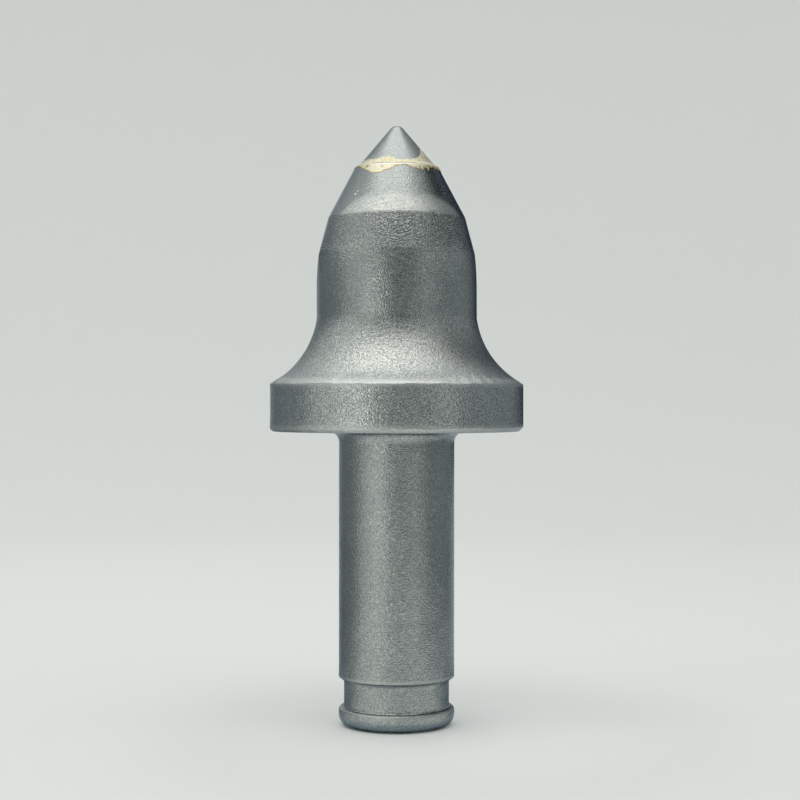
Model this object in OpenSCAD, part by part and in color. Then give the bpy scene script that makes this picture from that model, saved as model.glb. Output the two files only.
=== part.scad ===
// Conical cutting pick for a roadheader drum: a one-piece steel body with a bell-shaped head,
// a collar and a round shank, and a tungsten carbide point brazed into the socket in its nose.
// It stands on the end of its shank, with its axis on Z. All sizes are in millimetres.

/* [Shank] */
// Diameter of the shank that turns in the holder's bore
shank_d = 30; // [22:0.5:38]
// Length from the collar's underside to the end of the shank
shank_len = 76; // [60:1:100]
// Radius of the fillet between the shank and the collar's underside
neck_fillet_r = 3; // [1:0.5:4]
// Rounding of the shank's lower edge, above the groove
shank_edge_r = 1.3; // [0.5:0.1:1.3]

/* [Groove and end lip] */
// Depth of the retainer groove below the shank's surface
groove_depth = 1.35; // [1.35:0.05:3]
// Width of the retainer groove, along the shank
groove_w = 6.8; // [4:0.1:10]
// Radius of the fillet at the foot of the groove
groove_root_r = 0.6; // [0.2:0.1:1]
// Thickness of the lip that ends the shank
lip_t = 4.7; // [4.2:0.1:8]
// Rounding of the lip's upper edge
lip_top_r = 0.7; // [0.3:0.1:1]
// Rounding of the lip's lower edge, around the face that the pick stands on
lip_foot_r = 2.8; // [1:0.1:3.2]

/* [Collar] */
// Outside diameter of the collar
collar_d = 65.7; // [58:0.1:76]
// Thickness of the collar, from its underside to the foot of the flare
collar_t = 13.1; // [9:0.1:18]
// Width of the 45 degree chamfer on the collar's lower rim
collar_chamfer = 1.1; // [0.4:0.1:2]
// Width of the sloping land between the collar's rim and the flare
land_w = 1.4; // [0.5:0.1:3]
// Fall of the land over that width
land_fall = 1; // [0.3:0.1:2]

/* [Bell-shaped head] */
// Diameter of the straight part of the head
head_d = 41.6; // [37:0.1:46]
// Radius of the hollow flare between the head and the collar
flare_r = 22.6; // [19:0.1:26]
// Angle at which the flare leaves the head's straight part
flare_entry_angle = 8; // [2:0.5:15]
// Height above the collar's underside at which the head begins to draw in
crown_h = 37; // [33:0.5:42]
// Radius of the long curve by which the head draws in
crown_r = 76; // [50:1:120]
// Length of that curve, measured up the pick
crown_len = 9; // [4:0.5:12]
// Height of the shoulder edge above the collar's underside
shoulder_h = 55.4; // [51:0.1:60]
// Diameter at the shoulder edge, where the nose begins
shoulder_d = 35.5; // [30:0.1:38]

/* [Carbide point] */
// Height of the very tip above the collar's underside
gauge_len = 79.3; // [76:0.1:86]
// Diameter of the carbide point
carbide_d = 20; // [16:0.5:24]
// Half angle of the carbide's cone
carbide_angle = 40; // [35:0.5:45]
// Radius at the very tip
tip_r = 2.2; // [1:0.1:3]
// Length of the carbide's plug below its cone
plug_len = 12; // [8:0.5:16]
// Chamfer at the plug's lower end
plug_chamfer = 1.5; // [0.5:0.1:3]
// Height of the cone's foot above the steel rim around it
carbide_proud = 0.3; // [0.1:0.05:0.6]

/* [Socket and braze] */
// Thickness of the braze around and below the plug
braze_gap = 0.2; // [0.1:0.05:0.4]
// Width of the steel rim left around the socket's mouth
rim_wall = 0.7; // [0.5:0.1:2]
// Thickness of the braze that has run out over the nose and the carbide's cone
film_t = 0.15; // [0.1:0.05:0.3]
// Height on the carbide's cone at which the bead's hollow ends
bead_h = 0.9; // [0.6:0.1:0.9]
// Least run of the braze up the carbide's cone, measured up the pick
film_up = 1; // [1:0.1:1.6]
// Least run of the braze down the nose, measured down the pick
film_down = 0.3; // [0.1:0.1:1]
// Reach of the longest of the runs down the nose
run_reach = 2.6; // [1:0.1:3]
// Reach of the highest of the rises up the carbide's cone
rise_reach = 2.4; // [1.6:0.1:3]
// Reach of the tall tongue up the carbide's cone
tongue_reach = 4.4; // [3:0.1:5.5]
// Place of the tall tongue, in degrees around the pick from its front
tongue_angle = 76; // [0:1:359]

/* [Hidden] */

steel_colour = [0.47, 0.49, 0.48];
carbide_colour = [0.62, 0.65, 0.66];
braze_colour = [0.87, 0.78, 0.50];

// Runs of braze down the nose: degrees from the front, and share of the longest run's reach
braze_runs = [
    [-46, 0.5], [-32, 0.95], [-22, 1], [-9, 0.6], [20, 0.4], [31, 0.6], [43, 0.75], [60, 0.35], [77, 0.5],
    [98, 0.6], [120, 0.95], [137, 0.7], [168, 0.8], [196, 0.6], [214, 1], [231, 0.7], [262, 0.85], [292, 0.6]
];
// Rises of braze up the carbide's cone: degrees from the front, and share of the highest rise's reach
braze_rises = [
    [-66, 0.6], [-50, 0.65], [-37, 0.6], [-25, 0.75], [-12, 0.8], [33, 0.65], [49, 1],
    [105, 0.8], [128, 0.55], [150, 0.75], [171, 0.6], [190, 0.7], [214, 0.8], [240, 0.6], [266, 0.7]
];

// Divisions of a full turn
turn_fn = 180;
// Divisions of the small roundings and of the braze's edges
edge_fn = 64;
// Length by which one shape passes into or beyond another that it joins or cuts
over = 1;

// Radii
shank_r = shank_d / 2;
groove_r = shank_r - groove_depth;
collar_r = collar_d / 2;
flare_foot_r = collar_r - land_w;
head_r = head_d / 2;
shoulder_r = shoulder_d / 2;
carbide_r = carbide_d / 2;
socket_r = carbide_r + braze_gap;
rim_r = socket_r + rim_wall;

// Heights above the face that the pick stands on
shank_end_z = lip_t + groove_w;
seat_z = shank_len;
collar_top_z = seat_z + collar_t;
crown_z = seat_z + crown_h;
shoulder_z = seat_z + shoulder_h;
tip_z = seat_z + gauge_len;

// The carbide's cone would end in a sharp apex a little above the rounded tip
apex_z = tip_z - tip_r + tip_r / sin(carbide_angle);
cone_foot_z = apex_z - carbide_r / tan(carbide_angle);
plug_end_z = cone_foot_z - plug_len;
rim_z = cone_foot_z - carbide_proud;
film_top_z = rim_z + tongue_reach + over;
film_low_z = rim_z - run_reach - over;

// The flare's arc ends at its entry angle on the head and passes through the land's upper edge
flare_centre_r = head_r + flare_r * cos(flare_entry_angle);
flare_centre_z = collar_top_z + sqrt(pow(flare_r, 2) - pow(flare_centre_r - flare_foot_r, 2));
flare_top_z = flare_centre_z - flare_r * sin(flare_entry_angle);

// The crown's arc is tangent to the head's straight part
crown_end_r = head_r - crown_r + sqrt(pow(crown_r, 2) - pow(crown_len, 2));

// Half angle of the nose cone, from the shoulder edge to the rim
nose_angle = atan((shoulder_r - rim_r) / (rim_z - shoulder_z));

// Radius of the nose cone and of the carbide's cone at a height
function nose_r_at(z) = rim_r + (rim_z - z) * tan(nose_angle);
function cone_r_at(z) = (apex_z - z) * tan(carbide_angle);

// Rectangle of a half section, from the axis out to a radius
module slab(r, z0, z1) {
    translate([0, z0]) square([r, z1 - z0]);
}

// Slab whose lower outer edge is rounded
module slab_round_below(r, z0, z1, edge_r) {
    slab(r - edge_r, z0, z1);
    slab(r, z0 + edge_r, z1);
    translate([r - edge_r, z0 + edge_r]) circle(r = edge_r, $fn = edge_fn);
}

// Slab whose upper outer edge is rounded
module slab_round_above(r, z0, z1, edge_r) {
    slab(r - edge_r, z0, z1);
    slab(r, z0, z1 - edge_r);
    translate([r - edge_r, z1 - edge_r]) circle(r = edge_r, $fn = edge_fn);
}

// Hollow fillet between an upright wall and the level face above it (side = 1) or below it (side = -1)
module root_fillet(wall_r, face_z, fillet_r, side) {
    difference() {
        translate([wall_r - over, side > 0 ? face_z - fillet_r : face_z])
            square([over + fillet_r, fillet_r]);
        translate([wall_r + fillet_r, face_z - side * fillet_r])
            circle(r = fillet_r, $fn = edge_fn);
    }
}

// Half section of the plug's form: a cylinder chamfered at its lower end
module plug_section(r, end_z, top_z, chamfer) {
    polygon([
        [0, end_z],
        [r - chamfer, end_z],
        [r, end_z + chamfer],
        [r, top_z],
        [0, top_z]
    ]);
}

// The socket holds the plug with the same thickness of braze on all its faces
module socket_section(top_z) {
    plug_section(socket_r, plug_end_z - braze_gap, top_z, plug_chamfer + braze_gap * (2 - sqrt(2)));
}

// Half section of the end lip, the retainer groove and the shank
module shank_section() {
    slab_round_below(shank_r, 0, lip_t - lip_top_r, lip_foot_r);
    slab_round_above(shank_r, lip_foot_r, lip_t, lip_top_r);
    slab(groove_r, lip_t - over, shank_end_z + over);
    root_fillet(groove_r, lip_t, groove_root_r, -1);
    slab_round_below(shank_r, shank_end_z, seat_z + over, shank_edge_r);
    root_fillet(shank_r, seat_z, neck_fillet_r, 1);
}

// Half section of the collar
module collar_section() {
    polygon([
        [0, seat_z],
        [collar_r - collar_chamfer, seat_z],
        [collar_r, seat_z + collar_chamfer],
        [collar_r, collar_top_z - land_fall],
        [flare_foot_r, collar_top_z],
        [0, collar_top_z]
    ]);
}

// Half section of the hollow flare and the head's straight part
module flare_section() {
    difference() {
        slab(flare_foot_r, collar_top_z - over, flare_top_z);
        translate([flare_centre_r, flare_centre_z]) circle(r = flare_r, $fn = turn_fn);
    }
    slab(head_r, flare_top_z - over, crown_z);
}

// Half section of the drawn-in crown, the shoulder and the nose
module nose_section() {
    intersection() {
        slab(head_r, crown_z - over, crown_z + crown_len);
        translate([head_r - crown_r, crown_z]) circle(r = crown_r, $fn = 2 * turn_fn);
    }
    polygon([
        [0, crown_z + crown_len],
        [crown_end_r, crown_z + crown_len],
        [shoulder_r, shoulder_z],
        [rim_r, rim_z],
        [0, rim_z]
    ]);
}

// Half section of the braze outside the socket: the bead in the corner on the rim,
// and the film that it passes into on the nose and on the carbide's cone
module film_section() {
    nose_side = film_t / cos(nose_angle);
    cone_side = film_t / cos(carbide_angle);
    polygon([
        [carbide_r, rim_z],
        [rim_r, rim_z],
        [nose_r_at(film_low_z), film_low_z],
        [nose_r_at(film_low_z) + nose_side, film_low_z],
        [rim_r + nose_side, rim_z],
        [cone_r_at(rim_z + bead_h) + cone_side, rim_z + bead_h],
        [cone_r_at(film_top_z) + cone_side, film_top_z],
        [cone_r_at(film_top_z), film_top_z],
        [carbide_r, cone_foot_z]
    ]);
}

// Round reach of braze around a point on the rim, as a bar that points outwards through the film
module reach_bar(angle, reach) {
    rotate([0, 0, angle])
        translate([0, -rim_r / 2, rim_z])
            rotate([90, 0, 0])
                cylinder(r = reach, h = rim_r, $fn = edge_fn);
}

// Disc wider than the nose, between two heights
module level_band(z0, z1) {
    translate([0, 0, z0])
        cylinder(r = 2 * rim_r, h = z1 - z0, $fn = turn_fn);
}

// Space that the braze has run over: the band that it covers all around, its runs down the nose,
// and its rises and the tongue up the carbide's cone
module wetted_space() {
    level_band(rim_z - film_down, rim_z + film_up);
    intersection() {
        level_band(film_low_z, rim_z + film_up / 2);
        for (run = braze_runs)
            reach_bar(run[0], run[1] * run_reach);
    }
    intersection() {
        level_band(rim_z - film_down / 2, film_top_z);
        union() {
            for (rise = braze_rises)
                reach_bar(rise[0], rise[1] * rise_reach);
            reach_bar(tongue_angle, tongue_reach);
        }
    }
}

module pick_body() {
    color(steel_colour)
        rotate_extrude($fn = turn_fn)
            difference() {
                union() {
                    shank_section();
                    collar_section();
                    flare_section();
                    nose_section();
                }
                socket_section(rim_z + over);
            }
}

module carbide_tip() {
    tip_centre_z = tip_z - tip_r;
    tip_start_z = tip_centre_z + tip_r * sin(carbide_angle);
    color(carbide_colour)
        rotate_extrude($fn = turn_fn) {
            plug_section(carbide_r, plug_end_z, cone_foot_z, plug_chamfer);
            polygon([
                [0, cone_foot_z],
                [carbide_r, cone_foot_z],
                [cone_r_at(tip_start_z), tip_start_z],
                [0, tip_start_z]
            ]);
            intersection() {
                slab(tip_r, tip_centre_z, tip_z);
                translate([0, tip_centre_z]) circle(r = tip_r, $fn = edge_fn);
            }
        }
}

module braze_joint() {
    color(braze_colour) {
        rotate_extrude($fn = turn_fn)
            difference() {
                socket_section(rim_z);
                plug_section(carbide_r, plug_end_z, rim_z + over, plug_chamfer);
            }
        intersection() {
            rotate_extrude($fn = turn_fn) film_section();
            wetted_space();
        }
    }
}

pick_body();
carbide_tip();
braze_joint();
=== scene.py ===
# Looks of a roadheader pick: a shot-blasted steel body, a sintered carbide point and run-out braze
import math

import bpy
import numpy as np
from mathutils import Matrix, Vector


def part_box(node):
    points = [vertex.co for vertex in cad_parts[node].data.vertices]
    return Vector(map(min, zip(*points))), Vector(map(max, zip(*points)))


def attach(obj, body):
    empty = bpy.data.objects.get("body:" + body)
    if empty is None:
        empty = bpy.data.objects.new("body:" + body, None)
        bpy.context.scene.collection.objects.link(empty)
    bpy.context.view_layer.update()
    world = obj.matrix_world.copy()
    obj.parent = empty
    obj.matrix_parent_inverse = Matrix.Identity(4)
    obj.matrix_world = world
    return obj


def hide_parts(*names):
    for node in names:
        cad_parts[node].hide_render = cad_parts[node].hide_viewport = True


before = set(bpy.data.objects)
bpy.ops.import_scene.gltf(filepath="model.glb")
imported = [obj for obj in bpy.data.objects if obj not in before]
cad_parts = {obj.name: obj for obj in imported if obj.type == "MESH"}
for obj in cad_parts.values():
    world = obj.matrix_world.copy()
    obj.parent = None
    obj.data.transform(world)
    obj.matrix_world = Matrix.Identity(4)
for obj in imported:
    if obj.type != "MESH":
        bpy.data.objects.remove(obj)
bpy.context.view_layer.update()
print("frame loaded:", sorted(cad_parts))

mm = 0.001
tau = 2 * math.pi
bodyHigh = np.array(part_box("pick_body")[1]) / mm
pointLow, pointHigh = (np.array(corner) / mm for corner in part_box("carbide_tip"))


# One socket of a material, on which sums are written as plain maths
class Field:
    def __init__(self, finish, socket):
        self.finish = finish
        self.socket = socket

    def sum(self, operation, *values):
        return self.finish.add("ShaderNodeMath", {"operation": operation}, dict(enumerate(values)))

    def __add__(self, other):
        return self.sum("ADD", self, other)

    def __radd__(self, other):
        return self.sum("ADD", other, self)

    def __sub__(self, other):
        return self.sum("SUBTRACT", self, other)

    def __rsub__(self, other):
        return self.sum("SUBTRACT", other, self)

    def __mul__(self, other):
        return self.sum("MULTIPLY", self, other)

    def __rmul__(self, other):
        return self.sum("MULTIPLY", other, self)


# One material in the making: add() makes any node from its type, its settings and its sockets
class Finish:
    def __init__(self, name):
        self.material = bpy.data.materials.new(name)
        self.material.use_nodes = True
        self.tree = self.material.node_tree
        self.tree.nodes.clear()

    def add(self, kind, settings=None, sockets=None, out=0):
        node = self.tree.nodes.new(kind)
        for key, value in (settings or {}).items():
            setattr(node, key, value)
        for key, value in (sockets or {}).items():
            if isinstance(value, Field):
                self.tree.links.new(value.socket, node.inputs[key])
            else:
                node.inputs[key].default_value = value
        return Field(self, node.outputs[out]) if node.outputs else None

    # Places on the piece, in metres, as its own mesh has them
    def place(self):
        return self.add("ShaderNodeTexCoord", out="Object")

    # Cloudy noise with details of one size, in millimetres, about 0.5 on average
    def cloud(self, size, detail=2.0, roughness=0.5, seed=0.0):
        moved = {"Vector": self.place(), "Location": (seed, seed / 3, -seed)}
        spot = self.add("ShaderNodeMapping", sockets=moved)
        return self.add("ShaderNodeTexNoise", {"noise_dimensions": "3D"},
                        {"Vector": spot, "Scale": 1 / (size * mm), "Detail": detail, "Roughness": roughness})

    # Smooth step of a value from 0 at one level to 1 at another
    def step(self, value, low, high):
        return self.add("ShaderNodeMapRange", {"interpolation_type": "SMOOTHSTEP"},
                        {"Value": value, "From Min": low, "From Max": high})

    # Colour between two colours by a factor
    def mix(self, factor, first, second):
        return self.add("ShaderNodeMix", {"data_type": "RGBA"}, {0: factor, 6: first, 7: second}, out=2)

    # Closeness to a place on the nose, given by its turn and height: 1 there and 0 from the size outwards
    def near(self, turn, height, size, s):
        noseR = s["rimRadius"] + (bodyHigh[2] - height) * math.tan(noseSlope(s))
        x, y = around(noseR, math.radians(turn))
        away = self.add("ShaderNodeVectorMath", {"operation": "DISTANCE"},
                        {0: self.place(), 1: (x * mm, y * mm, height * mm)}, out=1)
        return self.step(away, size * mm, 0)

    # Number that the mesh keeps at each of its points
    def kept(self, name):
        return self.add("ShaderNodeAttribute", {"attribute_name": name}, out="Fac")

    # Sum of a value and of marks that the mesh keeps, each times its share
    def marked(self, value, shares):
        for name, share in shares.items():
            value = value + share * self.kept(name)
        return value

    # Tone coloured over at the marks that the mesh keeps, one after the other, each by its share
    def tinted(self, tone, shares, tones):
        for name, share in shares.items():
            tone = self.mix(share * self.kept(name), tone, tones[name])
        return tone

    # Bumps from a height between 0 and 1 and the distance in millimetres that 1 stands for
    def bump(self, height, distance):
        return self.add("ShaderNodeBump", sockets={"Height": height, "Distance": mm * distance})

    # Finished material, from the sockets of its shader
    def shade(self, sockets):
        shader = self.add("ShaderNodeBsdfPrincipled", sockets=sockets)
        self.add("ShaderNodeOutputMaterial", sockets={"Surface": shader})
        return self.material


# Opaque colour of a tone
def colour(tone):
    return (*tone, 1.0)


# Sum of plane waves through space, at random directions and lengths between two limits, about 0, spread 1
def ripples(x, y, z, shortest, longest, count, seed):
    rng = np.random.default_rng(seed)
    total = np.zeros_like(x)
    for _ in range(count):
        direction = rng.normal(size=3)
        direction = direction / np.linalg.norm(direction) * tau / rng.uniform(shortest, longest)
        total += np.cos(x * direction[0] + y * direction[1] + z * direction[2] + rng.uniform(0, tau))
    return total * math.sqrt(2 / count)


# Depth to which rounded ripples press a skin in: depth * (1 + tanh(ripples)) / 2
def pressed(x, y, z, relief):
    total = ripples(x, y, z, relief["shortest"], relief["longest"], relief["count"], relief["seed"])
    return relief["depth"] * (1 + np.tanh(total)) / 2


# Sum of waves around the turn, each weaker by the root of its number, about 0, spread 1
def turnRipples(angle, fewest, most, seed):
    rng = np.random.default_rng(seed)
    waves = np.arange(fewest, most + 1)
    strength = waves ** -0.5
    phase = rng.uniform(0, tau, len(waves))
    total = (strength * np.cos(angle[..., None] * waves + phase)).sum(-1)
    return total * math.sqrt(2 / (strength ** 2).sum())


# Smooth step 3t^2 - 2t^3 from 0 at one level to 1 at another
def eased01(value, low, high):
    t = np.clip((value - low) / (high - low), 0, 1)
    return t * t * (3 - 2 * t)


# Straight stretch of a profile from one (radius, height) to another, cut into even steps
def straight(start, end, pace):
    count = max(1, round(math.dist(start, end) / pace))
    share = np.linspace(0, 1, count + 1)[:, None]
    return np.array(start) + share * (np.array(end) - np.array(start))


# Round stretch of a profile about a centre, from one angle to another in degrees, cut into even steps
def bend(centre, radius, start, end, pace):
    count = max(2, round(radius * abs(math.radians(end - start)) / pace))
    turn = np.radians(np.linspace(start, end, count + 1))
    return np.array(centre) + radius * np.stack([np.cos(turn), np.sin(turn)], -1)


# Corner of a profile rounded by an arc that touches both of its sides
def eased(before, corner, after, radius, pace):
    before, corner, after = (np.array(point, float) for point in (before, corner, after))
    back = (before - corner) / np.linalg.norm(before - corner)
    onward = (after - corner) / np.linalg.norm(after - corner)
    half = math.acos(np.clip(back @ onward, -1, 1)) / 2
    reach = radius / math.tan(half)
    sweep = math.pi - 2 * half
    share = np.linspace(0, 1, max(3, round(radius * sweep / pace) + 1))[:, None]
    middle = corner + (back + onward) / np.linalg.norm(back + onward) * radius / math.sin(half)
    first, last = corner + back * reach - middle, corner + onward * reach - middle
    return middle + (np.sin((1 - share) * sweep) * first + np.sin(share * sweep) * last) / math.sin(sweep)


# Stretches joined end to end, without the points that two of them share
def chain(*stretches):
    points = np.concatenate(stretches)
    fresh = np.r_[True, np.hypot(*np.diff(points, axis=0).T) > 1e-6]
    return points[fresh]


# Outward direction of a profile at each of its points: its own direction turned a quarter to the right
def outward(section):
    along = np.gradient(section, axis=0)
    along = along / np.linalg.norm(along, axis=1, keepdims=True)
    return np.stack([along[:, 1], -along[:, 0]], -1)


# Places around the turn: angle 0 is the front, and a quarter turn on is +X
def around(radius, angle):
    return radius * np.sin(angle), -radius * np.cos(angle)


# Closed skin from rows of radii and heights around the turn: each row is a ring, the first and last are poles
def turnedSkin(name, radius, height, angle, kept=None):
    x, y = around(radius, angle)
    rings, columns = radius.shape[0] - 2, radius.shape[1]
    points = np.stack([x, y, height], -1) * mm
    points = np.concatenate([points[0, :1], points[1:-1].reshape(-1, 3), points[-1, :1]])
    column = np.arange(columns)
    after = (column + 1) % columns
    ring = 1 + np.arange(rings - 1)[:, None] * columns
    quads = np.stack([ring + column, ring + after, ring + columns + after, ring + columns + column], -1)
    last = 1 + rings * columns
    foot = np.stack([np.zeros_like(column), 1 + after, 1 + column], -1)
    top = np.stack([last - columns + column, last - columns + after, np.full_like(column, last)], -1)
    mesh = bpy.data.meshes.new(name)
    mesh.from_pydata(points.tolist(), [], quads.reshape(-1, 4).tolist() + foot.tolist() + top.tolist())
    mesh.polygons.foreach_set("use_smooth", np.ones(len(mesh.polygons), bool))
    for label, values in (kept or {}).items():
        flat = np.concatenate([values[0, :1], values[1:-1].ravel(), values[-1, :1]])
        mesh.attributes.new(label, "FLOAT", "POINT").data.foreach_set("value", flat.astype(np.float32))
    mesh.update()
    piece = bpy.data.objects.new(name, mesh)
    bpy.context.scene.collection.objects.link(piece)
    print(name, "has", sum(len(face.vertices) - 2 for face in mesh.polygons), "triangles")
    return piece


# Finished piece: its material, its place under the root body, and the node that it stands for, which is
# hidden
def settle(piece, material, node):
    piece.data.materials.append(material)
    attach(piece, "root")
    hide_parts(node)


# Steel body, in millimetres and degrees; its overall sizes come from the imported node
steel = {
    "shankRadius": 15.0, "neckFillet": 3.0, "shankEdge": 1.05,
    "grooveRadius": 13.65, "grooveWidth": 6.8, "grooveRoot": 0.6,
    "lip": 4.7, "lipTop": 0.7, "lipFoot": 2.8,
    "seat": 76.0, "collarThickness": 13.1, "collarChamfer": 1.1, "landWidth": 1.4, "landFall": 1.0,
    "headRadius": 20.8, "flareRadius": 22.6, "flareEntry": 8.0,
    "crown": 113.0, "crownRadius": 76.0, "crownLength": 9.0, "crownRound": 2.5,
    "shoulder": 131.4, "shoulderRadius": 17.75,
    "rimRadius": 10.9, "rimRound": 0.2,
    "socketRadius": 10.2, "socketFloor": 132.44, "socketChamfer": 1.62,
    "softEdge": 0.3,                 # rounding that blasting leaves on a sharp edge
    "columns": 330, "pace": 0.75, "finePace": 0.12,
    "relief": {"depth": 0.015, "shortest": 2.4, "longest": 7.0, "count": 60, "seed": 3},
    "waves": {"depth": 0.02, "shortest": 12.0, "longest": 30.0, "count": 24, "seed": 4},
    # Shares of the collar's lower chamfer and upper land around the turn: mean, lean to +X and ragged part;
    # then the numbers of the ragged waves, and the reach of the corners that the shares move
    "chamferShare": {"mean": 0.8, "lean": 0.28, "ragged": 0.07, "seed": 11},
    "landShare": {"mean": 0.95, "lean": 0.12, "ragged": 0.05, "seed": 12},
    "raggedWaves": (5, 60), "cornerReach": (1.8, 4.5),
    "nick": {"inset": 0.3, "angle": -73.0, "height": 88.7, "size": 0.55, "depth": 0.3},
    # Rougher band above the shoulder: its upper edge is level in front and behind, and falls to both sides
    "bandTop": 135.5, "bandFall": 38.0, "bandLean": 0.45, "bandFade": 1.4,
    "bandRagged": 0.3, "bandWaves": (2, 24), "bandSeed": 13,
    # Lighter skin on the collar, by the depth under its outside, and on the flare, by the height above it
    "collarFade": (1.5, 3.5), "flareFade": (9.0, 18.0),
    "browRise": (7.0, 13.0),         # coarser skin on the shoulder cone, by the height above the head
    "line": {"under": 0.12, "half": 0.1},    # painted shade: a dark line just under the shank's lower edge, where that edge's shadow falls
    "specks": [(-44.0, 136.3, 0.5), (-42.1, 137.1, 0.4)],    # dust on the nose: turn, height and size
    # Sizes of the finish's noises, two of their shares in the tone, and what the patches add to the roughness
    "grain": 0.3, "speck": 0.36, "mottle": 1.2, "patch": 7.0,
    "speckShare": 0.8, "mottleShare": 0.15, "patchRough": 0.1,
    # Depth of its bumps and its roughness away from all marks, and what each mark adds to them
    "bump": 0.095, "bumpMarks": {"brow": 0.04, "noseTop": -0.035, "collar": -0.01},
    "roughness": 0.18, "roughMarks": {"band": 0.22, "flare": 0.16, "edge": 0.25, "noseTop": 0.02},
    # What each mark adds to the specks' share and to the bright tone's, and the shares of the marks' own
    # tones that lie under the specks and over them
    "speckMarks": {"collar": 0.1, "flare": 0.1, "brow": 0.55, "band": -0.2, "noseTop": -0.25},
    "brightMarks": {"band": 0.85, "collar": 0.6, "flare": 0.76},
    # Over the specks, the edge tone is a painted highlight along the edges, and the line tone is painted
    # shade under the shank's edge
    "underMarks": {"noseTop": 0.42}, "overMarks": {"edge": 0.5, "line": 0.95},
    "tones": {
        "dark": (0.45, 0.475, 0.46), "light": (0.53, 0.555, 0.535), "bright": (0.75, 0.77, 0.735),
        "noseTop": (0.28, 0.3, 0.3), "speck": (0.24, 0.25, 0.25), "mottle": (0.2, 0.21, 0.21),
        # The edge tone is a painted highlight and the line tone is painted shade
        "edge": (0.7, 0.72, 0.69), "line": (0.04, 0.05, 0.07), "dust": (0.9, 0.9, 0.86),
        "glancing": (0.57, 0.61, 0.68),
    },
}


# Slope of the nose, from the upright
def noseSlope(s):
    return math.atan((s["shoulderRadius"] - s["rimRadius"]) / (bodyHigh[2] - s["shoulder"]))


# Edge of the nose at the socket's mouth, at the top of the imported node
def rimCorner(s):
    return s["rimRadius"], bodyHigh[2]


# Rounded edge at the socket's mouth, from the nose to the level rim
def rimEdge(s):
    shoulder, rim = (s["shoulderRadius"], s["shoulder"]), rimCorner(s)
    return eased(shoulder, rim, (s["socketRadius"], rim[1]), s["rimRound"], s["finePace"])


# Wall and floor of the socket, from its mouth to its centre
def socketLine(s):
    wide, r, floor, c = 4 * s["pace"], s["socketRadius"], s["socketFloor"], s["socketChamfer"]
    mouth = (r, rimCorner(s)[1])
    return chain(
        straight(mouth, (r, floor + c), wide),
        straight((r, floor + c), (r - c, floor), wide),
        straight((r - c, floor), (0, floor), wide),
    )


# Half section of the body, from the centre of its foot round the outside to the centre of the socket's floor
def bodySection(s):
    wide, fine, soft = s["pace"], s["finePace"], s["softEdge"]
    r, seat = s["shankRadius"], s["seat"]
    collarR = bodyHigh[0]
    lipFoot, lipTop, root = s["lipFoot"], s["lipTop"], s["grooveRoot"]
    shankEnd = s["lip"] + s["grooveWidth"]
    edge, neck, chamfer = s["shankEdge"], s["neckFillet"], s["collarChamfer"]
    collarTop = seat + s["collarThickness"]
    landR = collarR - s["landWidth"]
    flareR = s["flareRadius"]
    centreR = s["headRadius"] + flareR * math.cos(math.radians(s["flareEntry"]))
    centreZ = collarTop + math.sqrt(flareR ** 2 - (centreR - landR) ** 2)
    flareTop = (s["headRadius"], centreZ - flareR * math.sin(math.radians(s["flareEntry"])))
    landTurn = math.degrees(math.atan2(collarTop - centreZ, landR - centreR)) % 360
    crownTurn = math.degrees(math.asin(s["crownLength"] / s["crownRadius"]))
    crownCentre = (s["headRadius"] - s["crownRadius"], s["crown"])
    crown = bend(crownCentre, s["crownRadius"], 0, crownTurn, wide)
    shoulder, rim = (s["shoulderRadius"], s["shoulder"]), rimCorner(s)
    flare = bend((centreR, centreZ), flareR, landTurn, 180 + s["flareEntry"], wide)
    lowRim, sideRim = (collarR - chamfer, seat), (collarR, seat + chamfer)
    topRim, landRim = (collarR, collarTop - s["landFall"]), (landR, collarTop)
    return chain(
        straight((0, 0), (r - lipFoot, 0), 2 * wide),
        bend((r - lipFoot, lipFoot), lipFoot, -90, 0, fine * 2),
        bend((r - lipTop, s["lip"] - lipTop), lipTop, 0, 90, fine),
        straight((r - lipTop, s["lip"]), (s["grooveRadius"] + root, s["lip"]), fine),
        bend((s["grooveRadius"] + root, s["lip"] + root), root, 270, 180, fine),
        straight((s["grooveRadius"], s["lip"] + root), (s["grooveRadius"], shankEnd), wide),
        eased((s["grooveRadius"], shankEnd), (r, shankEnd + edge), (r, seat), soft / 2, fine / 2),
        straight((r, shankEnd + edge + soft), (r, seat - neck), wide),
        bend((r + neck, seat - neck), neck, 180, 90, fine * 3),
        straight((r + neck, seat), (collarR - chamfer - soft, seat), 2 * wide),
        eased((r, seat), lowRim, sideRim, soft, fine),
        eased(lowRim, sideRim, topRim, soft, fine),
        straight((collarR, seat + chamfer + soft), (collarR, collarTop - s["landFall"] - soft), wide),
        eased(sideRim, topRim, landRim, soft, fine),
        eased(topRim, landRim, tuple(flare[1]), soft / 2, fine),
        flare[1:],
        straight(flareTop, (s["headRadius"], s["crown"]), wide),
        crown[:-1],
        eased(crown[-2], crown[-1], shoulder, s["crownRound"], fine * 4),
        straight(crown[-1], shoulder, wide)[2:-1],
        eased(crown[-1], shoulder, rim, soft / 2, fine),
        straight(shoulder, rim, wide)[1:-1],
        rimEdge(s),
        socketLine(s),
    )


# Corner of the profile drawn in or out around the turn: a point near it has its distance from it times a
# share, and one further off keeps its place
def leanCorner(radius, height, corner, share, reach):
    away = np.hypot(radius - corner[0], height - corner[1])
    pull = 1 + (share - 1) * (1 - eased01(away, *reach))
    return corner[0] + (radius - corner[0]) * pull, corner[1] + (height - corner[1]) * pull
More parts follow.
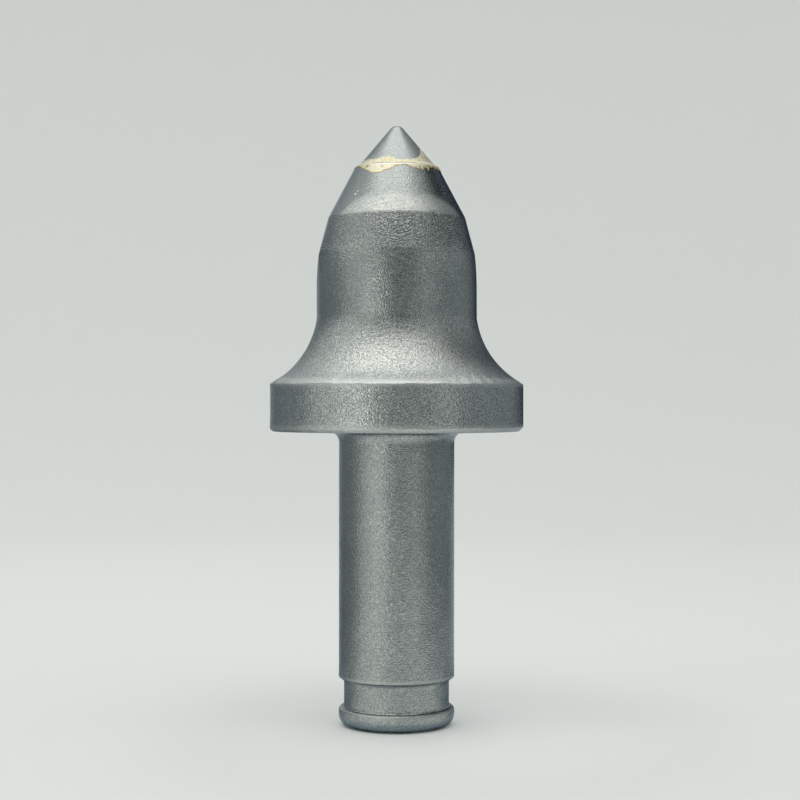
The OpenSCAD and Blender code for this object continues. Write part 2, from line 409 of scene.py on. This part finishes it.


# Closeness to the body's outer edges, from 0 to 1: a bell curve of the distance to the nearest of them; the
# finish makes them rougher and lighter, the lighter tone being a painted highlight
def edgeCloseness(radius, height, s):
    collarR, collarTop, shankR = bodyHigh[0], s["seat"] + s["collarThickness"], s["shankRadius"]
    shankFoot = s["lip"] + s["grooveWidth"] + s["shankEdge"]
    edges = [    # radius, height and size of each mark
        (collarR, s["seat"] + s["collarChamfer"], 0.7),
        (collarR - s["collarChamfer"], s["seat"], 0.7),
        (collarR, collarTop - s["landFall"], 0.6),
        (collarR - s["landWidth"], collarTop, 0.7),
        (shankR - 0.3, s["lip"] - 0.3, 0.5),
        (shankR, shankFoot + 0.2, 0.25),
    ]
    closeness = np.zeros_like(radius)
    for edgeR, edgeZ, size in edges:
        away = np.hypot(radius - edgeR, height - edgeZ)
        closeness = np.maximum(closeness, np.exp(-(away / size) ** 2))
    return closeness


# Marks on the skin, from 0 to 1: its edges, which take a painted highlight, the line under the shank's edge,
# which is painted shade, the nose's band and top, and the collar, the flare and the brow, each a product of
# smooth steps of radius and height
def bodyMarks(radius, height, angle, outside, s):
    shankFoot = s["lip"] + s["grooveWidth"] + s["shankEdge"]
    inward, aboveSeat = bodyHigh[0] - radius, height - s["seat"]
    aboveCollar = aboveSeat - s["collarThickness"]
    fall = s["bandFall"] * (1 - np.abs(np.cos(angle))) ** 3 * (1 - s["bandLean"] * np.sin(angle))
    bandTop = s["bandTop"] - fall + s["bandRagged"] * turnRipples(angle, *s["bandWaves"], s["bandSeed"])
    onNose = (height > s["shoulder"] - 0.05) & outside
    band = onNose * (1 - eased01(height, bandTop - s["bandFade"], bandTop + s["bandFade"]))
    # Painted shade: a dark band just under the shank's lower edge
    line = np.exp(-((height - shankFoot + s["line"]["under"]) / s["line"]["half"]) ** 2)
    return {
        "edge": edgeCloseness(radius, height, s),
        "line": line * (radius < s["shankRadius"] + 0.1),
        "band": band,
        "noseTop": onNose - band,
        "collar": (1 - eased01(inward, *s["collarFade"])) * eased01(aboveSeat, -0.1, 0.5),
        "flare": eased01(aboveCollar, -0.1, 0.6) * (1 - eased01(aboveCollar, *s["flareFade"])),
        "brow": eased01(height - s["crown"], *s["browRise"]) * (radius > s["rimRadius"] + 0.5) * ~onNose,
    }


# Blasted steel: satin grey with fine dark specks, and lighter, darker or rougher where the marks say, with
# a painted highlight at the edges and a painted shade line under the shank's lower edge
def steelFinish(s):
    f = Finish("blastedSteel")
    tones = {name: colour(tone) for name, tone in s["tones"].items()}
    grain = f.cloud(s["grain"], 0.0)
    speck = f.cloud(s["speck"], 1.0, 0.5, 0.5)
    mottle = f.cloud(s["mottle"], 2.0, 0.5, 0.8)
    patch = f.cloud(s["patch"], 3.0, 0.6, 0.3)
    tone = f.mix(f.step(patch, 0.3, 0.7), tones["dark"], tones["light"])
    tone = f.mix(f.marked(0.0, s["brightMarks"]), tone, tones["bright"])
    tone = f.tinted(tone, s["underMarks"], tones)
    coarse = f.marked(s["speckShare"], s["speckMarks"])
    tone = f.mix(f.step(speck, 0.7, 0.3) * coarse, tone, tones["speck"])
    tone = f.mix(f.step(mottle, 0.7, 0.3) * s["mottleShare"], tone, tones["mottle"])
    # Painted highlight along the edges and painted shade under the shank's lower edge
    tone = f.tinted(tone, s["overMarks"], tones)
    metal = 1.0
    for turn, height, size in s["specks"]:
        dust = f.near(turn, height, size, s)
        tone = f.mix(dust, tone, tones["dust"])
        metal = metal - 0.9 * dust
    rough = f.marked(s["roughness"] + s["patchRough"] * (patch - 0.5), s["roughMarks"])
    relief = f.bump(grain, f.marked(s["bump"], s["bumpMarks"]))
    return f.shade({"Base Color": tone, "Metallic": metal, "Roughness": rough, "Normal": relief,
                    "Specular Tint": tones["glancing"]})


# Body skin: the half section turned once, with its collar's edges leaning around the turn and its outside
# pressed in along its normal by fine relief, by long waves, and by one nick, a bell of the distance
def makeBody(s):
    section = bodySection(s)
    angle = np.arange(s["columns"]) * tau / s["columns"]
    radius = np.repeat(section[:, :1], len(angle), 1)
    height = np.repeat(section[:, 1:], len(angle), 1)
    print("body section has", len(section), "points")
    collarEdges = ((s["seat"], s["chamferShare"]), (s["seat"] + s["collarThickness"], s["landShare"]))
    for level, uneven in collarEdges:
        share = uneven["mean"] + uneven["lean"] * np.sin(angle)
        share = share + uneven["ragged"] * turnRipples(angle, *s["raggedWaves"], uneven["seed"])
        radius, height = leanCorner(radius, height, (bodyHigh[0], level), share, s["cornerReach"])
    x, y = around(radius, angle)
    nick = s["nick"]
    nickX, nickY = around(bodyHigh[0] - nick["inset"], math.radians(nick["angle"]))
    away = np.sqrt((x - nickX) ** 2 + (y - nickY) ** 2 + (height - nick["height"]) ** 2)
    press = pressed(x, y, height, s["relief"]) + pressed(x, y, height, s["waves"])
    press += nick["depth"] * np.exp(-(away / nick["size"]) ** 2)
    outside = (np.arange(len(section)) < len(section) - len(socketLine(s)))[:, None]
    press *= eased01(height, 0.0, 1.0) * outside
    marks = bodyMarks(radius, height, angle, outside, s)
    facing = outward(section)
    radius, height = radius - facing[:, :1] * press, height - facing[:, 1:] * press
    piece = turnedSkin("bodySteel", radius, height, angle, marks)
    settle(piece, steelFinish(s), "pick_body")


makeBody(steel)


# Carbide point, in millimetres and degrees
point = {
    "halfAngle": 40.0, "tipRadius": 2.2, "plugChamfer": 1.5,
    "columns": 240, "pace": 0.35, "finePace": 0.12,
    # Sizes of the finish's noises, depth of its bumps, and its mean roughness
    "grain": 0.3, "speck": 0.35, "patch": 3.0, "bump": 0.03, "roughness": 0.31,
    "speckShare": 0.7, "patchRough": 0.1,
    "tones": {
        "dark": (0.38, 0.40, 0.40), "light": (0.44, 0.46, 0.45), "speck": (0.24, 0.26, 0.27),
        "glancing": (0.5, 0.53, 0.56),
    },
}


# Height of the cone's foot and of the sharp apex that its cone would reach
def coneLevels(s):
    slope = math.radians(s["halfAngle"])
    apex = pointHigh[2] - s["tipRadius"] + s["tipRadius"] / math.sin(slope)
    return apex - pointHigh[0] / math.tan(slope), apex


# Half section of the point, from the centre of its plug's end round the outside to its tip
def pointSection(s):
    foot, tip = coneLevels(s)[0], s["tipRadius"]
    r, low, c = pointHigh[0], pointLow[2], s["plugChamfer"]
    cap = bend((0, pointHigh[2] - tip), tip, s["halfAngle"], 90, s["finePace"])
    return chain(
        straight((0, low), (r - c, low), 8 * s["pace"]),
        straight((r - c, low), (r, low + c), 2 * s["pace"]),
        straight((r, low + c), (r, foot), 4 * s["pace"]),
        straight((r, foot), tuple(cap[0]), s["pace"]),
        cap,
    )


# Sintered carbide: grey, with finer bumps than the steel's
def carbideFinish(s):
    f = Finish("sinteredCarbide")
    tones = {name: colour(tone) for name, tone in s["tones"].items()}
    grain = f.cloud(s["grain"], 1.0, 0.5, 0.7)
    speck = f.cloud(s["speck"], 1.0, 0.5, 0.2)
    patch = f.cloud(s["patch"], 3.0, 0.6, 0.1)
    tone = f.mix(f.step(patch, 0.3, 0.7), tones["dark"], tones["light"])
    tone = f.mix(f.step(speck, 0.7, 0.3) * s["speckShare"], tone, tones["speck"])
    rough = s["roughness"] + s["patchRough"] * (patch - 0.5)
    relief = f.bump(grain, s["bump"])
    return f.shade({"Base Color": tone, "Metallic": 1.0, "Roughness": rough, "Normal": relief,
                    "Specular Tint": tones["glancing"]})


# Point: its half section turned once
def makePoint(s):
    section = pointSection(s)
    angle = np.arange(s["columns"]) * tau / s["columns"]
    radius = np.repeat(section[:, :1], len(angle), 1)
    height = np.repeat(section[:, 1:], len(angle), 1)
    piece = turnedSkin("carbidePoint", radius, height, angle)
    settle(piece, carbideFinish(s), "carbide_tip")


makePoint(point)


# Braze, in millimetres and degrees: it fills the gap around the plug, rounds over the rim, and has run
# down the nose and up the point
braze = {
    "onNose": 0.08, "onPoint": 0.08, "lipWidth": 0.1, "leastReach": 0.1,
    "pathDown": 5, "pathUp": 6,      # lengths of the face's straight ends, along the nose and along the cone
    "rimRound": 0.14, "beadTurn": 60.0, "beadRound": 1.2,
    # Crease above the rim: its way past the corner, its half width, and its depth at the front and elsewhere
    "crease": {"past": 0.05, "width": 0.1, "depth": 0.12, "least": 0.25, "from": -30, "to": 26, "fade": 6},
    # Painted shade over the crease and a painted highlight just below the rim, both at the front only: their
    # heights from the rim and their half widths
    "shade": (0.02, 0.1), "paintedHighlight": (-0.24, 0.12),
    # Edges of the film, as turns and reaches from the rim: down the nose, and up the point
    "down": [(-90, 0.3), (-78, 0.1), (-61, 0.1), (-56, 0.4), (-45, 1.3), (-36, 1.9), (-32, 2.5), (-20, 2.55),
             (-16, 2.1), (-5, 1.35), (-2, 0.7), (12, 0.5), (19, 1.0), (33, 1.5), (40.5, 1.0), (43, 2.0),
             (45.5, 0.9), (54, 0.7), (65, 0.9), (80, 0.8), (98, 1.4), (112, 0.9), (122, 2.2), (137, 1.5),
             (150, 0.8), (168, 1.9), (182, 0.9), (196, 1.4), (206, 0.9), (214, 2.3), (224, 1.4), (233, 1.6),
             (246, 0.6)],
    "up": [(-53, 1.6), (-43, 1.5), (-31, 1.45), (-25, 1.85), (-12, 1.95), (-5, 1.5), (3, 1.0), (14, 1.05),
           (23, 1.15), (33, 1.6), (38, 1.7), (44, 2.5), (50, 2.7), (62, 4.0), (72, 4.4), (86, 4.3), (98, 2.8),
           (112, 1.7), (130, 1.3), (150, 1.8), (171, 1.4), (190, 1.7), (202, 1.2), (214, 1.9), (240, 1.4),
           (266, 1.7), (290, 1.4)],
    "ragged": 0.06, "raggedWaves": (24, 90), "fineRagged": 0.06, "fineWaves": (90, 300),
    "seeds": {"down": 21, "up": 23},
    "roughStretch": {"middle": 52, "half": 26, "times": 2.0},    # turns where the edges are more ragged
    "lumps": {"height": 0.012, "shortest": 0.7, "longest": 2.2, "count": 50, "seed": 31},
    "grains": {"height": 0.014, "shortest": 0.3, "longest": 0.6, "count": 50, "seed": 32},
    # Widths of the gold lower edge and of the burnt one; turns at which the pale film below the rim ends, the
    # thin film at the left begins, and the tongue's thin film begins and ends
    "goldEdge": 0.24, "burnt": 0.2, "pale": (30, 45), "thin": (44, 60), "tongue": (44, 54, 120),
    # Pits in the film: turn, drop below the rim, size and depth
    "pits": [(-41.3, 0.7, 0.3, 0.05), (-19, 1.0, 0.2, 0.09), (31, 1.0, 0.24, 0.05), (40, 1.33, 0.22, 0.05),
             (46.5, 0.5, 0.2, 0.05), (56, 0.68, 0.22, 0.05), (67, 0.85, 0.24, 0.05)],
    "columns": 720, "noseRows": 44, "pointRows": 30, "finePace": 0.05,
    # Sizes of the finish's noises, depth of its bumps, and the shares of its marks' tones, in their order
    "grain": 0.3, "patch": 0.9, "speck": 0.3, "bump": 0.03,
    "speckShare": 0.75, "metallic": 0.7, "roughness": 0.45,
    "overMarks": {"pale": 0.6, "thin": 0.7, "edge": 0.8, "burnt": 0.85,
                  "paintedHighlight": 1.0, "shade": 0.8, "pit": 1.0},
    "tones": {
        "dark": (0.68, 0.66, 0.50), "light": (0.79, 0.79, 0.66), "gold": (0.56, 0.42, 0.16),
        "pale": (0.92, 0.87, 0.72), "thin": (0.46, 0.48, 0.46), "edge": (0.92, 0.65, 0.22),
        # The tones at the rim's front are a painted highlight and painted shade
        "burnt": (0.34, 0.24, 0.09), "paintedHighlight": (0.97, 0.97, 0.95), "shade": (0.2, 0.21, 0.22),
        "pit": (0.09, 0.07, 0.05),
    },
}


# Share of the rough stretch around the turn: 1 in it and 0 away from it
def roughShare(angle, s):
    rough = s["roughStretch"]
    turn = (np.degrees(angle) - rough["middle"] + 180) % 360 - 180
    return 1 - eased01(np.abs(turn), rough["half"] * 0.6, rough["half"])


# Reach of one edge of the film around the turn: straight from each place to the next, and made ragged by
# waves around the turn, more so along one stretch
def edgeReach(angle, places, s, seed):
    turns, reaches = np.array(places).T
    reach = np.interp(np.degrees(angle), turns, reaches, period=360)
    times = 1 + (s["roughStretch"]["times"] - 1) * roughShare(angle, s)
    reach = reach + times * s["ragged"] * turnRipples(angle, *s["raggedWaves"], seed)
    return reach + times * s["fineRagged"] * turnRipples(angle, *s["fineWaves"], seed + 1)


# Profile of the braze's outer face: a line along the nose, over the rounded rim, along the bead's slope and
# hollow into the point's cone; with the lengths at which the rim begins and the cone starts
def facePath(s):
    slope, half, bead = noseSlope(steel), math.radians(point["halfAngle"]), math.radians(s["beadTurn"])
    rim = rimCorner(steel)
    corner = (rim[0] + s["onNose"] / math.cos(slope), rim[1])
    apex = coneLevels(point)[1] + s["onPoint"] / math.sin(half)
    rise = ((apex - corner[1]) * math.tan(half) - corner[0]) / (math.tan(half) - math.tan(bead))
    knee = (corner[0] - rise * math.tan(bead), corner[1] + rise)
    low = (corner[0] + s["pathDown"] * math.sin(slope), corner[1] - s["pathDown"] * math.cos(slope))
    high = (knee[0] - s["pathUp"] * math.sin(half), knee[1] + s["pathUp"] * math.cos(half))
    over = eased(low, corner, knee, s["rimRound"], s["finePace"])
    turned = eased(corner, knee, high, s["beadRound"], s["finePace"])
    path = chain([low], over, straight(tuple(over[-1]), tuple(turned[0]), s["finePace"]), turned, [high])
    length = np.r_[0, np.cumsum(np.hypot(*np.diff(path, axis=0).T))]
    return path, length, length[1], length[-2]


# Run braze: pale gold in small patches, coloured further where the marks say
def brazeFinish(s):
    f = Finish("runBraze")
    tones = {name: colour(tone) for name, tone in s["tones"].items()}
    grain = f.cloud(s["grain"], 2.0, 0.6, 0.4)
    patch = f.cloud(s["patch"], 3.0, 0.6, 0.9)
    speck = f.cloud(s["speck"], 1.0, 0.5, 0.2)
    tone = f.mix(f.step(patch, 0.35, 0.65), tones["dark"], tones["light"])
    tone = f.mix(f.step(speck, 0.45, 0.6) * s["speckShare"], tone, tones["gold"])
    tone = f.tinted(tone, s["overMarks"], tones)
    relief = f.bump(grain, s["bump"])
    return f.shade({"Base Color": tone, "Metallic": s["metallic"], "Roughness": s["roughness"],
                    "Normal": relief})


# Braze skin: rows run from the socket's floor up its wall, under the film to its lower edge, back over the
# film's face to its upper edge, down the point's side and in below the plug. On the face a point stands off
# the nose or the cone by thickness * sqrt(1 - (1 - d / lip)^2), where d is its distance from the edge
def makeBraze(s):
    angle = np.arange(s["columns"]) * tau / s["columns"]
    path, length, rimStart, coneStart = facePath(s)
    slope, half = noseSlope(steel), math.radians(point["halfAngle"])
    down, up = (edgeReach(angle, s[name], s, seed) for name, seed in s["seeds"].items())
    rimZ = bodyHigh[2]
    startZ = np.interp(rimStart, length, path[:, 1])
    endZ = np.interp(coneStart, length, path[:, 1])
    lowEnd = rimStart - np.maximum(startZ - rimZ + down, s["leastReach"]) / math.cos(slope)
    highEnd = coneStart + np.maximum(rimZ + up - endZ, s["leastReach"]) / math.cos(half)
    noseShare = (1 - np.cos(np.linspace(0, math.pi, s["noseRows"])))[:, None] / 2
    pointShare = np.sin(np.linspace(0, math.pi / 2, s["pointRows"]))[:, None]
    middle = length[(length > rimStart + 1e-6) & (length < coneStart - 1e-6)][:, None]
    along = np.concatenate([
        lowEnd + (rimStart - lowEnd) * noseShare,
        np.repeat(middle, len(angle), 1),
        coneStart + (highEnd - coneStart) * pointShare,
    ])
    radius = np.interp(along, length, path[:, 0])
    height = np.interp(along, length, path[:, 1])
    facing = outward(path)
    faceR, faceZ = np.interp(along, length, facing[:, 0]), np.interp(along, length, facing[:, 1])
    scale = np.hypot(faceR, faceZ)
    faceR, faceZ = faceR / scale, faceZ / scale
    fromEdge = np.minimum(along - lowEnd, highEnd - along)
    rise = np.sqrt(1 - (1 - np.clip(fromEdge / s["lipWidth"], 0, 1)) ** 2)
    thickness = np.where(along < (rimStart + coneStart) / 2, s["onNose"], s["onPoint"])
    x, y = around(radius, angle)
    lumps = 0
    for part in (s["lumps"], s["grains"]):
        waves = ripples(x, y, height, part["shortest"], part["longest"], part["count"], part["seed"])
        lumps = lumps + part["height"] * waves
    pit = np.zeros_like(radius)
    sunk = np.zeros_like(radius)
    for turn, drop, size, depth in s["pits"]:
        pitR = steel["rimRadius"] + drop * math.tan(slope) + s["onNose"]
        pitX, pitY = around(pitR, math.radians(turn))
        away = np.sqrt((x - pitX) ** 2 + (y - pitY) ** 2 + (height - rimZ + drop) ** 2)
        pit = np.maximum(pit, np.exp(-(away / size) ** 2))
        sunk += depth * np.exp(-(away / size) ** 2)
    crease = s["crease"]
    turn = (np.degrees(angle) + 180) % 360 - 180
    front = eased01(turn, crease["from"] - crease["fade"], crease["from"])
    front = front * (1 - eased01(turn, crease["to"], crease["to"] + crease["fade"]))
    deep = crease["depth"] * (crease["least"] + (1 - crease["least"]) * front)
    sunk += deep * np.exp(-((along - rimStart - crease["past"]) / crease["width"]) ** 2)
    stand = (rise - 1) * thickness + rise * np.maximum(lumps, -0.5 * thickness) - sunk
    stand = np.maximum(stand, -thickness - 0.05)
    radius, height = radius + faceR * stand, height + faceZ * stand
    under = socketLine(steel)[::-1]
    rim = rimEdge(steel)[::-1]
    plug = pointSection(point)
    foot = coneLevels(point)[0]
    plugSide = plug[plug[:, 1] <= foot + 1e-6][::-1]
    rowsBefore = np.concatenate([under, rim])
    innerShare = np.linspace(0, 1, 6)[1:-1, None]
    face = ((0, radius), (1, height))
    toEdge = [rim[-1][axis] + innerShare * (part[0] - rim[-1][axis]) for axis, part in face]
    fromTop = [part[-1] + innerShare * (plugSide[0][axis] - part[-1]) for axis, part in face]

    def ringed(rows):
        return np.repeat(rows[:, None], len(angle), 1)

    allRadius, allHeight = (
        np.concatenate([
            ringed(rowsBefore[:, axis]), toEdge[axis], part, fromTop[axis], ringed(plugSide[:, axis]),
        ])
        for axis, part in face
    )
    before, after = len(rowsBefore) + len(innerShare), len(innerShare) + len(plugSide)
    fromLow = along - lowEnd
    tongueFrom, tongueFull, tongueTo = s["tongue"]
    thin = eased01(-turn, *s["thin"]) + 0.4 * eased01(turn, tongueFrom, tongueFull) * (turn < tongueTo)
    marks = {
        "edge": np.exp(-(fromLow / s["goldEdge"]) ** 2),
        "pit": pit,
        "burnt": np.exp(-(fromLow / s["burnt"]) ** 2) * roughShare(angle, s) * (lumps > -0.01),
        "pale": (1 - eased01(height, rimZ - 0.2, rimZ)) * (1 - eased01(np.abs(turn), *s["pale"])),
        "thin": thin * eased01(height, rimZ - 0.3, rimZ + 0.3),
    }
    # Painted shade over the crease and a painted highlight just below the rim, both at the front only
    for name in ("shade", "paintedHighlight"):
        level, width = s[name]
        marks[name] = front * np.exp(-((height - rimZ - level) / width) ** 2)
    marks = {name: np.pad(mark, ((before, after), (0, 0))) for name, mark in marks.items()}
    piece = turnedSkin("brazeRun", allRadius, allHeight, angle, marks)
    settle(piece, brazeFinish(s), "braze_joint")


makeBraze(braze)


# Camera, in millimetres and degrees, its clip in metres: in front of the pick, at the photograph's distance
view = {
    "across": 0.87, "away": 427.3, "height": 84.1,
    "focalPixels": 1644.0, "picturePixels": 800.0, "sensor": 36.0,
    "roll": -0.04, "clip": (0.01, 20.0),
}


# Camera, level but for its roll, looking along +Y
def makeCamera(s):
    data = bpy.data.cameras.new("camera")
    data.sensor_width = s["sensor"]
    data.lens = s["focalPixels"] / s["picturePixels"] * s["sensor"]
    data.clip_start, data.clip_end = s["clip"]
    camera = bpy.data.objects.new("camera", data)
    camera.location = (s["across"] * mm, -s["away"] * mm, s["height"] * mm)
    camera.rotation_euler = (math.pi / 2, math.radians(s["roll"]), 0)
    bpy.context.scene.collection.objects.link(camera)
    bpy.context.scene.camera = camera
    print("camera set, lens", round(data.lens, 2))


makeCamera(view)


# Studio, in metres: a pale bowl for floor and backdrop, soft lamps, dark cards, and the room's dim light
studio = {
    "floorRadius": 0.6, "bendRadius": 0.75, "wallTop": 1.1,
    "floorRings": 24, "bendSteps": 32, "columns": 128,
    # The floor's tone near its middle, made lighter there as a painted pool of light that thins the pick's
    # shadow round its foot, and further out, and the wall's tone higher up
    "near": (0.97, 0.975, 0.975), "far": (0.765, 0.78, 0.78), "high": (0.805, 0.81, 0.805),
    "middle": (0.01, -0.016, 0), "fade": (0.0, 0.07), "climb": (0.05, 0.5),
    "roomColour": (0.82, 0.85, 0.83), "roomStrength": 0.97,
    # Lamps: one that names the pieces it lights leaves no patch of light on the floor beside it
    "lamps": {
        "overhead": {"size": (0.78, 1.05), "spot": (-0.11, 0.055, 0.85), "aim": (-0.11, 0.055, 0),
                     "power": 2.65, "tint": (1, 0.99, 0.94)},
        "leftFront": {"size": (0.18, 0.2), "spot": (-0.285, -0.465, 0.055), "aim": (0, 0, 0.055),
                      "power": 0.12, "tint": (1, 1, 0.97),
                      "lights": ["bodySteel", "carbidePoint", "brazeRun"]},
        "leftSide": {"size": (0.32, 0.13), "spot": (-0.475, -0.08, 0.36), "aim": (0, 0, 0.13),
                     "power": 0.06, "tint": (1, 1, 0.97)},
    },
    "cardSteps": 16,
    # Dark cards, in metres and degrees: each one's turn from the front, half its spread around the turn, how
    # far its foot and its top are from the axis, their heights, and its tone
    "cards": {
        "frontLow": {"turn": 8, "half": 32, "foot": 0.34, "away": 0.34,
                     "low": 0.0, "high": (0.17, 0.17), "tone": (0.40, 0.43, 0.43)},
        "frontHigh": {"turn": 8, "half": 28, "foot": 0.6, "away": 0.6,
                      "low": 0.25, "high": (0.5, 0.5), "tone": (0.07, 0.085, 0.1)},
        "rightLow": {"turn": 92, "half": 44, "foot": 0.12, "away": 0.32,
                     "low": 0.003, "high": (0.22, 0.22), "tone": (0.28, 0.31, 0.33)},
        "rightSide": {"turn": 107, "half": 14, "foot": 0.31, "away": 0.31,
                      "low": 0.1, "high": (0.175, 0.175), "tone": (0.04, 0.06, 0.09)},
        "rightHigh": {"turn": 100, "half": 38, "foot": 0.56, "away": 0.56,
                      "low": 0.41, "high": (0.8, 0.8), "tone": (0.05, 0.065, 0.08)},
        "rightBack": {"turn": 148.5, "half": 28.5, "foot": 0.45, "away": 0.45,
                      "low": 0.045, "high": (0.36, 0.4), "tone": (0.05, 0.07, 0.11)},
        # Painted shade: the two foot cards are dark rings on the floor round the foot, seen only in
        # reflections, standing in for the foot's shadow there
        "footFront": {"turn": 0, "half": 180, "foot": 0.0135, "away": 0.0185,
                      "low": 0.0004, "high": (0.0006, 0.0006), "tone": (0.66, 0.78, 0.88)},
        "footBack": {"turn": 180, "half": 92, "foot": 0.021, "away": 0.088,
                     "low": 0.001, "high": (0.0015, 0.0015), "tone": (0.32, 0.37, 0.42)},
        "left": {"turn": -111, "half": 36, "foot": 0.085, "away": 0.32,
                 "low": 0.003, "high": (0.235, 0.21), "tone": (0.27, 0.30, 0.32)},
        "leftBack": {"turn": -141.5, "half": 23.5, "foot": 0.33, "away": 0.33,
                     "low": 0.155, "high": (0.165, 0.24), "tone": (0.06, 0.08, 0.09)},
        "leftHigh": {"turn": -124, "half": 31, "foot": 0.57, "away": 0.57,
                     "low": 0.45, "high": (0.84, 0.84), "tone": (0.72, 0.75, 0.76)},
        "leftTop": {"turn": -138, "half": 15, "foot": 0.42, "away": 0.36,
                    "low": 0.66, "high": (0.83, 0.83), "tone": (0.75, 0.78, 0.78)},
        "rightTop": {"turn": 136, "half": 11, "foot": 0.42, "away": 0.36,
                     "low": 0.66, "high": (0.83, 0.83), "tone": (0.42, 0.46, 0.48)},
    },
}


# Bowl around the pick: a level disc whose edge bends up into a round wall
def makeBowl(s):
    bendR, columns = s["bendRadius"], s["columns"]
    turn = np.radians(np.linspace(-90, 0, s["bendSteps"] + 1))[1:]
    floor = np.linspace(0.02, s["floorRadius"], s["floorRings"])
    radius = np.r_[floor, s["floorRadius"] + bendR * np.cos(turn), s["floorRadius"] + bendR]
    height = np.r_[np.zeros_like(floor), bendR + bendR * np.sin(turn), s["wallTop"]]
    column = np.arange(columns)
    angle = column * tau / columns
    x, y = around(radius[:, None], angle)
    z = np.repeat(height[:, None], columns, 1)
    points = np.concatenate([[[0, 0, 0]], np.stack([x, y, z], -1).reshape(-1, 3)])
    after = (column + 1) % columns
    ring = 1 + np.arange(len(radius) - 1)[:, None] * columns
    quads = np.stack([ring + column, ring + columns + column, ring + columns + after, ring + after], -1)
    middle = np.stack([np.zeros_like(column), 1 + column, 1 + after], -1)
    mesh = bpy.data.meshes.new("bowl")
    mesh.from_pydata(points.tolist(), [], quads.reshape(-1, 4).tolist() + middle.tolist())
    mesh.polygons.foreach_set("use_smooth", np.ones(len(mesh.polygons), bool))
    bowl = bpy.data.objects.new("bowl", mesh)
    bpy.context.scene.collection.objects.link(bowl)
    f = Finish("palePaper")
    away = f.add("ShaderNodeVectorMath", {"operation": "DISTANCE"}, {0: f.place(), 1: s["middle"]}, out=1)
    rise = f.add("ShaderNodeSeparateXYZ", sockets={0: f.place()}, out=2)
    # Painted light: the floor is lighter near the middle, thinning the pick's shadow round its foot
    tone = f.mix(f.step(away, *s["fade"]), colour(s["near"]), colour(s["far"]))
    tone = f.mix(f.step(rise, *s["climb"]), tone, colour(s["high"]))
    mesh.materials.append(f.shade({"Base Color": tone, "Roughness": 0.9}))


# Lamps: soft rectangles turned towards their aims, which the camera doesn't see
def makeLamps(s):
    for name, lamp in s["lamps"].items():
        data = bpy.data.lights.new(name, "AREA")
        data.shape = "RECTANGLE"
        data.size, data.size_y = lamp["size"]
        data.energy = lamp["power"]
        data.color = lamp["tint"]
        light = bpy.data.objects.new(name, data)
        light.location = lamp["spot"]
        turn = (Vector(lamp["spot"]) - Vector(lamp["aim"])).to_track_quat("Z", "Y")
        light.rotation_euler = turn.to_euler()
        light.visible_camera = False
        bpy.context.scene.collection.objects.link(light)
        if "lights" in lamp:
            lit = bpy.data.collections.new(name + "Lit")
            light.light_linking.receiver_collection = lit
            for piece in lamp["lights"]:
                lit.objects.link(bpy.data.objects[piece])


# Cards around the pick, which only its reflections see: each is bent about the axis
def makeCards(s):
    steps = s["cardSteps"]
    for name, card in s["cards"].items():
        turn = np.radians(card["turn"] + np.linspace(-card["half"], card["half"], steps + 1))
        low = np.stack([*around(card["foot"], turn), np.full(steps + 1, card["low"])], -1)
        high = np.stack([*around(card["away"], turn), np.linspace(*card["high"], steps + 1)], -1)
        column = np.arange(steps)
        quads = np.stack([column, column + steps + 1, column + steps + 2, column + 1], -1)
        mesh = bpy.data.meshes.new(name + "Card")
        mesh.from_pydata(np.concatenate([low, high]).tolist(), [], quads.tolist())
        f = Finish(name + "Paper")
        mesh.materials.append(f.shade({"Base Color": colour(card["tone"]), "Roughness": 0.9}))
        piece = bpy.data.objects.new(name + "Card", mesh)
        bpy.context.scene.collection.objects.link(piece)
        piece.visible_camera = False
        piece.visible_diffuse = False
        piece.visible_shadow = False


# Dim light of the room, from all sides
def makeRoom(s):
    world = bpy.data.worlds.new("room")
    bpy.context.scene.world = world
    world.use_nodes = True
    background = world.node_tree.nodes["Background"]
    background.inputs["Color"].default_value = colour(s["roomColour"])
    background.inputs["Strength"].default_value = s["roomStrength"]
    print("studio set with", len(s["lamps"]), "lamps and", len(s["cards"]), "cards")


makeBowl(studio)
makeLamps(studio)
makeCards(studio)
makeRoom(studio)

bpy.context.scene.view_settings.view_transform = "Standard"
